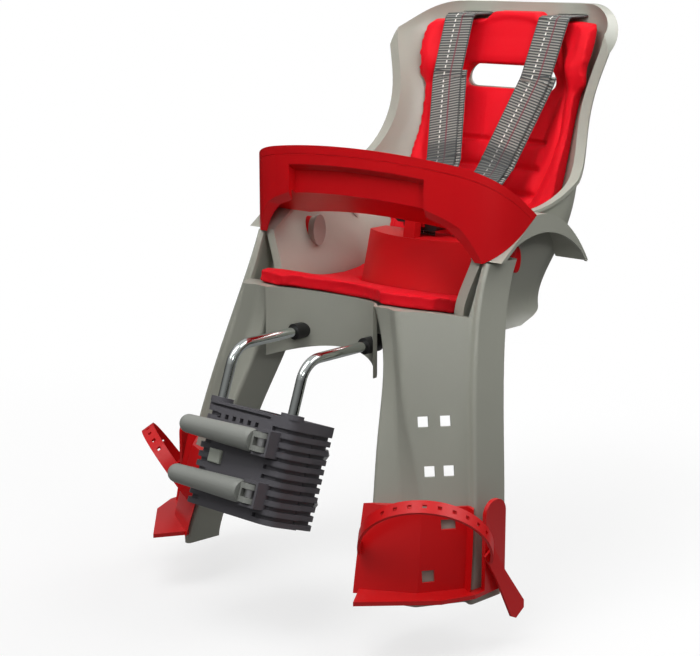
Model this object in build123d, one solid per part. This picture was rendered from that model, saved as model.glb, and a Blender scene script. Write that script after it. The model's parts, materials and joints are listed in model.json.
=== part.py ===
from build123d import *
import os
from math import cos, pi, radians, sin, sqrt

# A front child seat: a moulded shell on a chrome U-rod that plugs into a bracket with two
# quick-release levers, which clamps a leaning tube. Millimetres. +Z is up, the child faces -Y
# and the child's left is +X. The origin is the middle of the clamp, on the tube's axis.

# General clearances
gap = 0.4
running_fit = 0.05

# Clamp bore and jaws, laid out upright and then leaned back with the tube
tube_radius = 17.5
tube_lean = 20.0
liner_thick = 2.0
jaw_top = 46.0
jaw_bottom = -54.0
jaw_front = 42.0
jaw_rear = 34.0
jaw_split = 3.0
boss_wall = 6.0
boss_rise = 4.0
fin_depth = 3.5
fin_groove = 4.0
fin_pitch = 9.0
fin_inner = 36.0
bolt_offset = 36.0
bolt_radius = 3.0
vent_size = 4.5
vent_pitch = 10.0
vent_count = 6
vent_height = 33.0
slit_tall = 2.5
slit_depth = 4.0
jaw_corner = 14.0
rear_half = 52.0

# Quick-release levers
lever_upper_height = 19.0
lever_lower_height = -29.0
lever_dome = 11.0
lever_tip = 9.0
lever_reach = 88.0
lever_dome_back = 14.0
lever_tail_out = 8.5
lever_pin_radius = 2.5
cam_radius = 8.0
cam_half = 9.0
bolt_eye_radius = 5.5
bolt_eye_half = 3.5
guard_wall = 2.5
guard_reach = 13.0
nut_radius = 6.0
nut_thick = 5.0

# Release button of the rod latch
latch_x = -26.0
latch_height = -5.0
latch_width = 16.0
latch_tall = 13.0
latch_proud = 3.0
latch_travel = 3.0
latch_bar_tall = 6.0
latch_bar_thick = 2.5
latch_bar_front = 27.0
latch_bar_half = 42.2

# Chrome support rod
rod_radius = 5.0
rod_spacing = 93.0
rod_ahead = 30.0
rod_insert = 66.0
rod_bend = 26.0
rod_height = 105.0
rod_back = 275.0
bush_wall = 3.0
bush_length = 20.0
saddle_thick = 4.0
saddle_length = 22.0
saddle_front_y = 148.0
saddle_rear_y = 232.0
saddle_screw_radius = 2.5
saddle_screw_x = 62.0
saddle_screw_depth = 8.0
bush_front = 87.0

# Bucket of the shell: height, half width, back and corner radius of the inner surface
wall = 3.0
rim_width = 8.0
bucket_front = 60.0
seat_low = 112.0
seat_half = 127.0
seat_back = 292.0
seat_corner = 46.0
hip_height = 190.0
hip_half = 130.0
hip_back = 327.0
hip_corner = 60.0
waist_height = 260.0
waist_half = 134.0
waist_back = 355.0
waist_corner = 70.0
neck_height = 343.0
neck_half = 127.0
neck_back = 388.0
neck_corner = 72.0
wing_height = 382.0
wing_half = 137.0
wing_back = 397.0
wing_corner = 72.0
shell_top = 421.0
top_half = 128.0
top_back = 401.0
top_corner = 72.0
crown_radius = 62.0
slot_half = 63.0
slot_tall = 24.0
slot_height = 343.0

# Side rim of the shell and the arm hood, as distances behind the tube and heights
rim_top_back = 384.0
wing_front = 345.0
neck_front = 339.0
waist_front = 304.0
arm_back = 276.0
arm_height = 243.0
bar_seat_back = 200.0
bar_seat_high = 231.0
bar_seat_front = 145.0
bar_seat_low = 192.0
hood_tip_back = 288.0
hood_tip_low = 176.0
hood_half = 165.0
hood_wall = 3.5
hood_inner = 129.0
arch_radius = 80.0
arch_back = 204.0
arch_height = 133.0
skirt_bottom = 114.0

# Pan and front wall
pan_front = 60.0
pan_front_height = 150.0
pan_brow = 96.0
pan_low_back = 230.0
pan_low_height = 121.0
front_wall_back = 112.0
front_wall_radius = 83.5
front_wall_low = 92.0
front_wall_half = 71.0
front_wall_sag = 12.0
thigh_half = 144.0
thigh_back = 172.0

# Leg guards: heights of the sections, and the inner lip, ridge and outer lip at each
leg_heights = (190.0, 150.0, 100.0, 40.0, -20.0, -75.0, -112.0)
inner_lip = ((66, 68), (70, 72), (80, 75), (93, 52), (105, 30), (113, 10), (117, 0))
ridge = ((92, 72), (101, 69), (114, 60), (131, 54), (151, 50), (160, 36), (163, 28))
outer_lip = ((152, 149), (154, 133), (163, 117), (176, 101), (188, 88), (195, 78), (197, 72))
valley_depth = 6.0
leg_inner_return = 42.0
leg_outer_return = 36.0
leg_flange = 20.0
hole_size = 10.0
hole_rows = (51.0, 7.0)
hole_columns = (0.26, 0.62)

# Footrests
foot_high = -24.0
foot_low = -98.0
foot_wall = 3.0
sole_thick = 4.0
toe_x = 135.0
toe_y = -27.0
sole_outer_x = 206.0
sole_outer_y = 105.0
ear_thick = 4.0
ear_width = 30.0
ear_top = -14.0
foot_strap_thick = 2.5
foot_strap_width = 14.0
foot_strap_start = (112.0, 8.0, -62.0)
foot_strap_crest = (160.0, 0.0, -12.0)
foot_strap_end = (209.0, 80.0, -66.0)
foot_strap_tip = (214.0, 118.0, -130.0)
foot_strap_flare = 22.0
foot_hole = 4.0
foot_hole_count = 9

# Cushion, crotch guard and harness
pad_thick = 14.0
head_pad_half = 121.0
back_pad_half = 98.0
pad_neck_height = 346.0
pad_top = 400.0
seat_pad_thick = 15.0
guard_half = 68.0
guard_front_low = 186.0
guard_front_high = 206.0
guard_back = 252.0
guard_top = 190.0
post_half = 7.0
post_thick = 9.0
post_top = 214.0
strap_width = 38.0
strap_thick = 2.0
strap_top_x = 62.0
strap_top_y = 384.0
strap_top_z = 408.0
strap_end_x = 33.0
strap_end_y = 236.0
strap_end_z = 222.0
anchor_y = 408.0
buckle_front = 226.0
buckle_half = 22.0
buckle_depth = 20.0
buckle_tall = 20.0
buckle_lift = 6.0
buckle_button_half = 6.5
button_proud = 2.5
button_press = 2.5

# Safety bar
bar_half = 165.0
bar_front = 118.0
bar_depth = 40.0
bar_flat = 110.0
bar_bow = 10.0
bar_side = 24.0
bar_top_front = 289.0
bar_height = 42.0
bar_skin = 4.0
bar_cover = 9.0
bar_recess_half = 88.0
bar_recess_depth = 9.0
bar_recess_drop = 19.0
tongue_reach = 7.0
tongue_wide = 22.0
tongue_thick = 6.0

# Release buttons on the arms
arm_button_y = 200.0
arm_button_z = 186.0
arm_button_wide = 13.0
arm_button_tall = 27.0
arm_button_proud = 11.0
arm_button_travel = 4.0

far = 240.0


def block(x0, x1, y0, y1, z0, z1):
    """A box between two corners."""
    return Pos((x0 + x1) / 2, (y0 + y1) / 2, (z0 + z1) / 2) * Box(x1 - x0, y1 - y0, z1 - z0)


def upright(radius, x, y, z0, z1):
    """A cylinder along Z between two heights."""
    return Pos(x, y, (z0 + z1) / 2) * Cylinder(radius, z1 - z0)


def fore_aft(radius, x, z, y0, y1):
    """A cylinder along Y between two places."""
    return Pos(x, (y0 + y1) / 2, z) * Rot(X=90) * Cylinder(radius, y1 - y0)


def side_solid(face, x0, x1):
    """A face drawn in (Y, Z), carried across from x0 to x1."""
    return extrude(Plane.YZ.offset(x0) * face, amount=x1 - x0, dir=(1, 0, 0))


def front_solid(face, y0, y1):
    """A face drawn in (X, Z), carried back from y0 to y1."""
    return extrude(Plane.XZ.offset(-y0) * face, amount=y1 - y0, dir=(0, 1, 0))


def risen(face, z0, z1):
    """A face drawn in (X, Y), carried up from z0 to z1."""
    return extrude(Pos(0, 0, z0) * face, amount=z1 - z0, dir=(0, 0, 1))


def polygon(*points):
    """A flat face with straight sides."""
    return make_face(Polyline(*points, close=True))


def leaned(shape):
    """Lean a clamp piece back with the tube that it holds."""
    return Rot(X=-tube_lean) * shape


def mirrored(shape):
    """The same piece for the other side."""
    return mirror(shape, about=Plane.YZ)


bucket_levels = (
    (seat_low, seat_half, seat_back, seat_corner),
    (hip_height, hip_half, hip_back, hip_corner),
    (waist_height, waist_half, waist_back, waist_corner),
    (neck_height, neck_half, neck_back, neck_corner),
    (wing_height, wing_half, wing_back, wing_corner),
    (shell_top + wall, top_half, top_back, top_corner),
)


def bucket(grow):
    """The seat bucket as a solid, its U-shaped sections grown outwards by one distance."""
    sections = []
    for height, half, back, corner in bucket_levels:
        x = half + grow
        y = back + grow
        r = corner + grow
        nook = r * (1 - sqrt(0.5))
        outline = [
            Polyline((-x, y - r), (-x, bucket_front), (x, bucket_front), (x, y - r)),
            ThreePointArc((x, y - r), (x - nook, y - nook), (x - r, y)),
            Line((x - r, y), (r - x, y)),
            ThreePointArc((r - x, y), (nook - x, y - nook), (-x, y - r)),
        ]
        sections.append(Pos(0, 0, height) * make_face(outline))
    return loft(sections)


def rim_line(inset):
    """The free edge of the shell seen from the side, from the top rim to the bar's seat."""
    return Spline(
        (rim_top_back + inset, shell_top - inset),
        (wing_front + 8 + inset, (shell_top + wing_height) / 2 - inset),
        (wing_front + inset, wing_height - 6 - inset),
        (neck_front + inset, neck_height - inset),
        (waist_front + inset, waist_height - inset),
        (arm_back + inset, arm_height - inset),
        (bar_seat_back + inset, bar_seat_high - inset),
    )


def pan_line(drop):
    """The seat pan seen from the side, from its front edge to where it meets the back."""
    return Spline(
        (pan_front, pan_front_height - drop),
        (pan_brow, pan_front_height - 3 - drop),
        (pan_low_back, pan_low_height - drop),
        (seat_back - 8 + drop / 2, pan_low_height + 9 - drop),
        (hip_back - 5 + drop, hip_height - 12 - drop),
    )


def pan_slab(top, bottom):
    """The band between two levels over and under the pan, right across."""
    high = pan_line(-top)
    low = pan_line(bottom)
    outline = [high, Line(high @ 1, low @ 1), low, Line(low @ 0, high @ 0)]
    return side_solid(make_face(outline), -far, far)


def kept_side(inset):
    """The region of the bucket that is kept, seen from the side."""
    low_front = bar_seat_front - 6
    pan_end = (hip_back - 5 + wall, hip_height - 12 - wall)
    outline = [
        rim_line(inset),
        Polyline(
            (bar_seat_back + inset, bar_seat_high - inset),
            (bar_seat_front + inset, bar_seat_low - inset),
            (low_front + inset, skirt_bottom),
            (pan_low_back, skirt_bottom),
            (seat_back - 2, skirt_bottom + 11),
            pan_end,
            (top_back + far, neck_height),
            (top_back + far, shell_top - inset),
            (rim_top_back + inset, shell_top - inset),
        ),
    ]
    sheet = Pos(0, shell_top / 2 - inset / 2) * Rectangle(2 * (wing_half + rim_width), shell_top - inset)
    crown = fillet(
        sheet.vertices().group_by(Axis.Y)[-1],
        crown_radius - inset,
    )
    return side_solid(make_face(outline), -far, far) & front_solid(crown, 0, 2 * far)


def offset_points(points, distance):
    """An open line of points moved sideways by one distance, to the right of its travel."""
    moved = []
    for index, point in enumerate(points):
        before = points[max(index - 1, 0)]
        after = points[min(index + 1, len(points) - 1)]
        normals = []
        for start, end in ((before, point), (point, after)):
            length = sqrt((end[0] - start[0]) ** 2 + (end[1] - start[1]) ** 2)
            if length:
                normals.append(((end[1] - start[1]) / length, (start[0] - end[0]) / length))
        first, last = normals[0], normals[-1]
        scale = distance / (1 + first[0] * last[0] + first[1] * last[1])
        moved.append((point[0] + scale * (first[0] + last[0]), point[1] + scale * (first[1] + last[1])))
    return moved


def between(table, height):
    """A leg-guard point at any height, in line between its sections."""
    for index in range(len(leg_heights) - 1):
        high, low = leg_heights[index], leg_heights[index + 1]
        if height >= low or index == len(leg_heights) - 2:
            share = (high - height) / (high - low)
            a, b = table[index], table[index + 1]
            return (a[0] + share * (b[0] - a[0]), a[1] + share * (b[1] - a[1]))


def leg_line(height):
    """The left leg guard's section from its inner return wall round to its outer flange."""
    inner = between(inner_lip, height)
    crest = between(ridge, height)
    outer = between(outer_lip, height)
    valley = ((inner[0] + crest[0]) / 2, (inner[1] + crest[1]) / 2 + valley_depth)
    return [
        (inner[0] - 5, inner[1] + leg_inner_return),
        inner,
        valley,
        crest,
        (outer[0] - 9, outer[1] - 3),
        (outer[0], outer[1] - 7),
        (outer[0] + 3, outer[1] + leg_outer_return),
        (outer[0] + 3 - leg_flange, outer[1] + leg_outer_return + 5),
    ]


leg_radii = (4.0, 9.0, 6.0, 3.0, 3.0, 3.0)


def leg_loft(inset, extend, top_drop):
    """A leg guard as a solid, inset from its outer surface and extended at the open back."""
    sections = []
    for index, height in enumerate(leg_heights):
        line = offset_points(leg_line(height), -inset)
        start, end = line[0], line[-1]
        outline = [
            FilletPolyline(*line, radius=leg_radii),
            Polyline(end, (end[0], end[1] + extend), (start[0], start[1] + extend), start)
            if extend else Line(end, start),
        ]
        level = height - top_drop if index == 0 else height
        sections.append(Pos(0, 0, level) * make_face(outline))
    return loft(sections)


legs_solid = leg_loft(0, 0, 0)
legs_solid = legs_solid + mirrored(legs_solid)
bucket_inner = bucket(0)
bucket_outer = bucket(wall)


def above_pan(rise, x0, x1, back):
    """Everything higher than the pan, raised by one distance, up to a place behind the tube."""
    end = pan_line(-rise) @ 1
    high = shell_top
    outline = [
        pan_line(-rise),
        Polyline(end, (end.X, high), (0, high), (0, pan_front_height + rise), pan_line(-rise) @ 0),
    ]
    return side_solid(make_face(outline), x0, x1) & block(x0, x1, 0, back, 0, high)


def front_drum(radius, z0, z1):
    """The round space ahead of the front wall, between the leg guards."""
    return upright(radius, 0, front_wall_back - front_wall_radius, z0, z1)


def hood_edge(drop):
    """The arm hood's upper edge from the bar's seat to its rear tip, moved in by one distance."""
    run = hood_tip_back - bar_seat_back
    points = offset_points([
        (bar_seat_front, bar_seat_low),
        (bar_seat_back, bar_seat_high),
        (bar_seat_back + 0.4 * run, bar_seat_high - 6),
        (bar_seat_back + 0.75 * run, (bar_seat_high + hood_tip_low) / 2),
        (hood_tip_back, hood_tip_low),
    ], drop)
    return [Line(points[0], points[1]), Spline(*points[1:])], points[0], points[-1]


def arm_hood():
    """The left arm's hood: a roof over the bar's seat and a crescent cheek outside it."""
    roof, low, tip = hood_edge(0)
    under, under_low, under_tip = hood_edge(hood_wall)
    roof_solid = side_solid(make_face(roof + [Line(tip, low)]), hood_inner, hood_half)
    roof_solid = roof_solid - side_solid(make_face(under + [Line(under_tip, under_low)]), 0, far)
    inside, inside_low, inside_tip = hood_edge(hood_wall / 2)
    cheek_edge = ThreePointArc(inside_tip, (arch_back, arch_height + arch_radius), inside_low)
    return roof_solid + side_solid(make_face(inside + [cheek_edge]), hood_half - hood_wall, hood_half)


def oval(wide, tall):
    """An upright oval."""
    return Ellipse(wide / 2, tall / 2)


def arm_button_shape(grow, x0, x1):
    """The left arm button's oval at its place, grown by one distance."""
    face = Pos(arm_button_y, arm_button_z) * oval(arm_button_wide + 2 * grow, arm_button_tall + 2 * grow)
    return side_solid(face, x0, x1)


def panel_hole(height, share, wide, tall):
    """One square hole through the left leg guard's panel, or through what lies on it."""
    line = leg_line(height)
    start, end = line[3], line[4]
    x = start[0] + share * (end[0] - start[0])
    y = start[1] + share * (end[1] - start[1])
    plane = Plane(
        origin=(x, y, height),
        x_dir=(end[0] - start[0], end[1] - start[1], 0),
        z_dir=(start[1] - end[1], end[0] - start[0], 0),
    )
    return plane * Box(wide, tall, 10 * wall)


def seat_shell():
    """The whole moulded shell."""
    kept = kept_side(0)
    side = (bucket_outer - bucket_inner) & kept
    rim = ((bucket(wall + rim_width) - bucket_inner) & kept) - kept_side(wall)
    pan_room = legs_solid + (bucket_outer & block(-far, far, front_wall_back + 1, 2 * far, 0, shell_top))
    pan = (pan_slab(0, wall) & pan_room) - front_drum(front_wall_radius, 0, far)
    leg = leg_loft(0, 0, 0) - leg_loft(wall, 40, 0)
    leg = leg - above_pan(0, 0, thigh_half, thigh_back)
    for height in hole_rows:
        for share in hole_columns:
            leg = leg - panel_hole(height, share, hole_size, hole_size)
    front_wall = front_drum(front_wall_radius + wall, skirt_bottom - 60, pan_front_height)
    front_wall = front_wall - front_drum(front_wall_radius, 0, far)
    arch = make_face([
        ThreePointArc(
            (-front_wall_half, front_wall_low - front_wall_sag),
            (0, front_wall_low),
            (front_wall_half, front_wall_low - front_wall_sag),
        ),
        Polyline(
            (front_wall_half, front_wall_low - front_wall_sag),
            (front_wall_half, pan_front_height),
            (-front_wall_half, pan_front_height),
            (-front_wall_half, front_wall_low - front_wall_sag),
        ),
    ])
    front_wall = front_wall & front_solid(arch, pan_front, far)
    front_wall = front_wall - above_pan(0, -far, far, far)
    hood = arm_hood() - bar_tongue(gap)
    side = side + rim - arm_button_shape(gap, 0, far) - mirrored(arm_button_shape(gap, 0, far))
    shell = side + pan + front_wall
    for piece in (leg, hood):
        shell = shell + piece + mirrored(piece)
    slot = front_solid(Pos(0, slot_height) * SlotOverall(2 * slot_half, slot_tall), waist_front, 2 * far)
    shell = shell - slot
    for place in (saddle_front_y, saddle_rear_y):
        shell = shell + saddle_boss(place)
    for x in (-strap_top_x, strap_top_x):
        shell = shell - block(
            x - strap_width / 2 - 1, x + strap_width / 2 + 1,
            strap_top_y, 2 * far,
            strap_top_z - strap_thick, strap_top_z + strap_thick,
        )
    for x in (-rod_spacing / 2, rod_spacing / 2):
        bush_hole = rod_radius + bush_wall + running_fit
        shell = shell - fore_aft(bush_hole, x, rod_height, pan_front, saddle_front_y)
    return shell


def below_pan():
    """The room under the pan, down to the middle of the rod."""
    start = pan_line(wall) @ 0
    end = pan_line(wall) @ 1
    outline = [
        pan_line(wall),
        Polyline(end, (end.X, rod_height), (pan_front, rod_height), start),
    ]
    return side_solid(make_face(outline), -far, far)


def rod_groove(grow):
    """The rod's two straight runs, grown by one distance."""
    runs = fore_aft(rod_radius + grow, rod_spacing / 2, rod_height, pan_front, rod_back)
    return runs + mirrored(runs)


def saddle_screws(place, radius, z0, z1):
    """The four screws of one saddle, or the holes for them."""
    screws = []
    for x in (-saddle_screw_x, saddle_screw_x):
        screws.append(upright(radius, x, place, z0, z1))
    return screws


def saddle_boss(place):
    """A boss moulded under the pan that takes the upper half of the rod."""
    half = saddle_screw_x + saddle_thick + saddle_screw_radius
    reach = saddle_length / 2
    boss = block(-half, half, place - reach, place + reach, rod_height, leg_heights[1])
    boss = (boss & below_pan()) - rod_groove(running_fit)
    for hole in saddle_screws(place, saddle_screw_radius, rod_height, rod_height + saddle_screw_depth):
        boss = boss - hole
    return boss


def saddle(place):
    """The plate that holds the rod up into its boss."""
    half = saddle_screw_x + saddle_thick + saddle_screw_radius
    low = rod_height - rod_radius - saddle_thick
    plate = block(-half, half, place - saddle_length / 2, place + saddle_length / 2, low, rod_height - gap)
    lighten = rod_spacing / 2 - rod_radius - saddle_thick
    plate = plate - block(-lighten, lighten, 0, far + far, 0, rod_height - saddle_thick)
    plate = plate - rod_groove(running_fit)
    for hole in saddle_screws(place, saddle_screw_radius + running_fit, 0, rod_height):
        plate = plate - hole
    return plate


def rod_screws():
    """The screws of both saddles, with flat heads under the plates."""
    screws = []
    low = rod_height - rod_radius - saddle_thick
    for place in (saddle_front_y, saddle_rear_y):
        tip = rod_height + saddle_screw_depth - 1
        shanks = saddle_screws(place, saddle_screw_radius - running_fit, low, tip)
        heads = saddle_screws(place, 2 * saddle_screw_radius, low - saddle_screw_radius, low)
        for shank, head in zip(shanks, heads):
            screws.append(shank + head)
    return Compound(children=screws)


def rod_bush():
    """The left ring that carries the rod where it passes through the front wall."""
    x = rod_spacing / 2
    ring = fore_aft(rod_radius + bush_wall, x, rod_height, bush_front, bush_front + bush_length)
    return ring - fore_aft(rod_radius + running_fit, x, rod_height, 0, far)


def tube_frame(y, z):
    """A place given upright beside the tube, as Y and Z after the lean."""
    lean = radians(tube_lean)
    return (y * cos(lean) + z * sin(lean), z * cos(lean) - y * sin(lean))


def support_rod():
    """One bent bar: two prongs, two runs under the pan and a cross run behind."""
    foot_y, foot_z = tube_frame(-rod_ahead, jaw_top + boss_rise - rod_insert)
    knee_y = foot_y + (rod_height - foot_z) * sin(radians(tube_lean)) / cos(radians(tube_lean))
    x = rod_spacing / 2
    path = FilletPolyline(
        (x, foot_y, foot_z), (x, knee_y, rod_height), (x, rod_back, rod_height),
        (-x, rod_back, rod_height), (-x, knee_y, rod_height), (-x, foot_y, foot_z),
        radius=rod_bend,
    )
    start = Plane(origin=path @ 0, z_dir=path % 0)
    return sweep(start * Circle(rod_radius), path=path)


def seat_cushion():
    """The one-piece pad: a T-shaped back with a slot and a seat that runs out over the thighs."""
    outline = polygon(
        (-head_pad_half, pad_top), (head_pad_half, pad_top),
        (head_pad_half, pad_neck_height), (back_pad_half, pad_neck_height - 14),
        (back_pad_half, hip_height - 30), (-back_pad_half, hip_height - 30),
        (-back_pad_half, pad_neck_height - 14), (-head_pad_half, pad_neck_height),
    )
    outline = fillet(outline.vertices(), 8)
    core = bucket(-gap)
    back = (core - bucket(-gap - pad_thick)) & front_solid(outline, waist_front - 40, 2 * far)
    back = back & kept_side(pad_thick)
    slot = Pos(0, slot_height) * SlotOverall(2 * slot_half, slot_tall)
    back = back - front_solid(slot, waist_front, 2 * far)
    plan = polygon(
        (-seat_half, front_wall_back + 14), (-100, 92), (-72, 86),
        (72, 86), (100, 92), (seat_half, front_wall_back + 14),
        (seat_half, 2 * far), (-seat_half, 2 * far),
    )
    seat = pan_slab(seat_pad_thick + gap, -gap) & core & risen(plan, 0, far)
    seat = seat - front_drum(front_wall_radius + wall, 0, far) - guard_blank(gap)
    return back + seat - pan_slab(2 * gap, wall)


def guard_section(height, front, grow):
    """A D-shaped section of the crotch guard."""
    half = guard_half + grow
    side = front + 21 - grow
    back = guard_back + grow
    outline = [
        ThreePointArc((-half, side), (0, front - grow), (half, side)),
        Polyline((half, side), (half, back), (-half, back), (-half, side)),
    ]
    return Pos(0, 0, height) * make_face(outline)


def guard_blank(grow):
    """The crotch guard before its foot is fitted to the pan."""
    return loft([
        guard_section(skirt_bottom, guard_front_low, grow),
        guard_section(guard_top + grow, guard_front_high, grow),
    ])


def crotch_guard():
    """The red guard between the legs, hollow below, with the post ahead of the buckle."""
    guard = guard_blank(0) & above_pan(gap, -far, far, 2 * far)
    hollow = block(
        -guard_half + wall, guard_half - wall, guard_front_high + 26, guard_back - wall, 0, guard_top - wall,
    )
    foot = guard_front_high
    post = polygon(
        (foot, guard_top - 8), (foot + post_thick + 2, guard_top - 8),
        (foot + post_thick + 6, post_top), (foot + 6, post_top),
    )
    return guard - hollow + side_solid(fillet(post.vertices().group_by(Axis.Y)[-1], 3), -post_half, post_half)


def shoulder_strap():
    """The left shoulder strap, from its anchor through the back and straight to its tongue."""
    top = Vector(strap_top_x, strap_top_y, strap_top_z)
    end = Vector(strap_end_x, strap_end_y, strap_end_z)
    along = (end - top).normalized()
    across = (Vector(1, 0, 0) - along * along.X).normalized()
    plane = Plane(origin=(top + end) / 2, x_dir=along, z_dir=along.cross(across))
    ribbon = plane * Box((end - top).length, strap_width, strap_thick)
    fold = block(
        strap_top_x - strap_width / 2, strap_top_x + strap_width / 2, strap_top_y, anchor_y,
        strap_top_z - strap_thick / 2, strap_top_z + strap_thick / 2,
    )
    knuckle = Pos(strap_top_x, strap_top_y, strap_top_z) * Rot(Y=90) * Cylinder(strap_thick / 2, strap_width)
    return ribbon + fold + knuckle


def strap_anchor():
    """The steel bar behind the back that both shoulder straps end on."""
    half = strap_top_x + strap_width / 2 + 6
    bar = block(-half, half, anchor_y, anchor_y + 3, strap_top_z - 8, strap_top_z + 8)
    return fillet(bar.edges().filter_by(Axis.Y), 4)


def buckle_body():
    """The buckle's housing with its button pocket and side mouths."""
    low = guard_top + buckle_lift
    body = block(-buckle_half, buckle_half, buckle_front, buckle_front + buckle_depth, low, low + buckle_tall)
    body = fillet(body.edges().filter_by(Axis.Y), 4)
    pocket = button_blank(gap / 2, buckle_front - 1, buckle_front + buckle_depth - 4)
    return body - pocket


def button_blank(grow, y0, y1):
    """The buckle button's block between two depths."""
    middle = guard_top + buckle_lift + buckle_tall / 2
    half = buckle_button_half + grow
    return block(-half, half, y0, y1, middle - half, middle + half)


def buckle_button():
    """The button on the front of the buckle."""
    return button_blank(0, buckle_front - button_proud, buckle_front + buckle_depth - 4 - button_press - 1)


def buckle_tongue():
    """The left tongue, from the buckle's mouth up to its strap."""
    low = guard_top + buckle_lift + 4
    top = strap_end_z - 2.8
    right = strap_end_x + strap_width / 2 + 2
    face = polygon(
        (buckle_half + 0.2, low), (buckle_half + 14, low), (right, top - 6), (right, top),
        (strap_end_x - strap_width / 2, top), (buckle_half + 0.2, top - 5),
    )
    middle = buckle_front + buckle_depth / 2
    return front_solid(face, middle - 2.5, middle + 2.5)


def crotch_strap():
    """The webbing that ties the buckle to the guard."""
    middle = buckle_front + buckle_depth / 2
    half = strap_thick / 2
    return block(-12, 12, middle - half, middle + half, guard_top, guard_top + buckle_lift)


def bar_plan(skin, depth):
    """The safety bar seen from above: a rounded hoop, from its outer line in to one depth."""
    def line(inset_front, inset_side):
        x = bar_half - inset_side
        y = bar_front + inset_front
        back = bar_seat_back + 10
        shoulder = bar_seat_back - 12
        flat = bar_flat * x / bar_half
        brow = ThreePointArc((-flat, y + bar_bow), (0, y), (flat, y + bar_bow))
        lead = x - flat
        corner = [
            (flat, y + bar_bow), (flat + 0.7 * lead, y + 1.75 * bar_bow),
            (x, y + 3.2 * bar_bow), (x, shoulder),
        ]
        left = Bezier(*corner)
        right = Bezier(*[(-point[0], point[1]) for point in corner])
        return [Line((-x, back), (-x, shoulder)), right, brow, left, Line((x, shoulder), (x, back))], x, back
    outer, outer_x, back = line(skin, skin)
    inner, inner_x, back = line(depth[0], depth[1])
    ends = [Line((outer_x, back), (inner_x, back)), Line((-inner_x, back), (-outer_x, back))]
    return make_face(outer + ends + inner)


def bar_slope():
    """How fast the bar's top falls towards the back."""
    return (bar_top_front - bar_seat_high) / (bar_seat_back - bar_front)


def bar_band(top_drop, low_drop, lift):
    """The hoop's height seen from the side, between two depths below its top."""
    slope = bar_slope()
    y0 = bar_front - 10
    y1 = bar_seat_back + 12
    top0 = bar_top_front + 10 * slope
    top1 = top0 - slope * (y1 - y0)
    return polygon((y0, top0 - low_drop), (y0, top0 - top_drop), (y1, top1 - top_drop), (y1, top1 - low_drop))


def bar_seat_side(lift):
    """The room above the arm hoods, lifted off their seats by one distance."""
    run = bar_seat_back - bar_seat_front
    rise = bar_seat_high - bar_seat_low
    length = sqrt(run * run + rise * rise)
    low = (bar_seat_front - lift * rise / length, bar_seat_low + lift * run / length)
    slope = rise / run
    ahead = 60
    behind = 40
    return polygon(
        (low[0] - ahead, low[1] - ahead * slope),
        (low[0] + run + behind, low[1] + rise + behind * slope),
        (low[0] + run + behind, shell_top), (low[0] - ahead, shell_top),
    )


def bar_solid(shrink):
    """The whole safety bar, or its hollow when shrunk by a wall."""
    tall = risen(bar_plan(shrink, (bar_depth - shrink, bar_side - shrink)), 0, shell_top)
    hoop = tall & side_solid(bar_band(shrink, bar_height - shrink, 0), -far, far)
    hoop = hoop & side_solid(bar_seat_side(gap + shrink), -far, far)
    return hoop


def bar_skirt():
    """The skin that flares down at both ends of the bar."""
    skin = risen(bar_plan(0, (bar_skin, bar_skin)), 0, shell_top)
    slope = bar_slope()
    front_low = bar_top_front - bar_height
    flare = polygon(
        (bar_front - 10, front_low + 10 * slope), (bar_front + 3, front_low - 3),
        (bar_front + 14, front_low - 25), (bar_seat_front - 3, bar_seat_low - 4),
        (bar_seat_back, bar_seat_low), (bar_seat_back, bar_seat_high),
        (bar_seat_front, bar_seat_high + 20),
    )
    return skin & side_solid(flare, -far, far) & side_solid(bar_seat_side(gap), -far, far)


def bar_tongue(grow):
    """The left plug of the safety bar, down into the arm hood."""
    run = bar_seat_back - bar_seat_front
    rise = bar_seat_high - bar_seat_low
    along = Vector(0, run, rise).normalized()
    out = Vector(0, -along.Z, along.Y)
    middle = Vector(hood_half - hood_wall - 10, bar_seat_front + run / 2, bar_seat_low + rise / 2)
    plane = Plane(origin=middle, x_dir=along, z_dir=out)
    plug = Box(tongue_wide + 2 * grow, tongue_thick + 2 * grow, tongue_reach + hood_wall + bar_skin)
    return plane * Pos(0, 0, (bar_skin + gap - tongue_reach - hood_wall) / 2) * plug


def safety_bar():
    """The bar's lower moulding and its top cover."""
    whole = bar_solid(0) + bar_skirt()
    recess = risen(bar_plan(-5, (bar_recess_depth, bar_recess_depth)), 0, shell_top)
    recess = recess & block(-bar_recess_half, bar_recess_half, 0, far, 0, shell_top)
    recess = recess & side_solid(bar_band(bar_recess_drop, far, 0), -far, far)
    whole = whole - recess - bar_hollow()
    lid = side_solid(bar_band(-20, bar_cover, 0), -far, far)
    groove = side_solid(bar_band(bar_cover - gap, bar_cover, 0), -far, far)
    cover = (whole & lid) - groove
    body = whole - lid
    plugs = bar_tongue(0)
    return body + plugs + mirrored(plugs), cover


def bar_hollow():
    """The room inside the bar, behind the recess."""
    inset = bar_recess_depth + wall
    tall = risen(bar_plan(inset, (bar_depth - wall, bar_side - wall)), 0, shell_top)
    hollow = tall & side_solid(bar_band(wall, bar_height - wall, 0), -far, far)
    return hollow & side_solid(bar_seat_side(gap + wall), -far, far)


def arm_button():
    """The left release button: an oval through the arm's side with a stop flange inside."""
    outside = hip_half + wall + arm_button_proud
    inside = seat_half - 2 * arm_button_travel
    face = arm_button_shape(0, inside, outside)
    face = fillet(face.edges().group_by(Axis.X)[-1], 3)
    return face + arm_button_shape(wall, inside - wall, inside)


def foot_section(height, outset):
    """The footrest plate's outer line at one height, closed behind inside the leg guard."""
    line = leg_line(height)
    front = offset_points([line[0], line[1], line[3], line[4], line[5], line[6]], outset)
    inside = (line[7][0], line[6][1] - leg_flange)
    return Pos(0, 0, height) * make_face(Polyline(*front[1:5], inside, close=True))


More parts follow.
